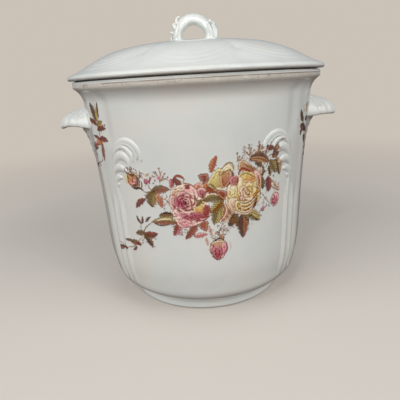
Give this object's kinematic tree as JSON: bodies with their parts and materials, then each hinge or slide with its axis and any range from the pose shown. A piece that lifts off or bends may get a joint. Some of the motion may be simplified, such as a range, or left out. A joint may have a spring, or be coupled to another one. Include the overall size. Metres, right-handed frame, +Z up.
{
  "type": "covered crock",
  "caption": "Tall round china crock with a flared rim, lug handles, moulded plumes and a lift-off domed lid with a bow handle.",
  "frame": {"origin": "centre of the flat face under the foot ring", "axes": "+Z up along the jar's axis, +X out along the right lug handle, -Y out of the front face"},
  "size_m": [0.32, 0.2794, 0.3093],
  "materials": {
    "crock_glaze": "glossy",
    "foot_glaze": "glossy",
    "handle_glaze": "glossy",
    "lid_glaze": "glossy",
    "bow_glaze": "glossy"
  },
  "bodies": {
    "crock": {"crock_body": "crock_glaze", "crock_rim": "crock_glaze", "foot_ring": "foot_glaze", "left_handle": "handle_glaze", "right_handle": "handle_glaze", "left_handle_leaf": "handle_glaze", "right_handle_leaf": "handle_glaze", "front_left_plume": "crock_glaze", "front_left_reeds": "crock_glaze", "front_right_plume": "crock_glaze", "front_right_reeds": "crock_glaze", "back_left_plume": "crock_glaze", "back_left_reeds": "crock_glaze", "back_right_plume": "crock_glaze", "back_right_reeds": "crock_glaze"},
    "lid": {"lid_shell": "lid_glaze", "lid_flange": "lid_glaze", "lid_bow_handle": "bow_glaze", "bow_leaf_left": "bow_glaze", "bow_leaf_right": "bow_glaze"}
  },
  "joints": [
    {"name": "lid_lift", "type": "slide", "parent": "crock", "child": "lid", "axis": [0, 0, 1], "range_m": [0, 0.18]}
  ]
}
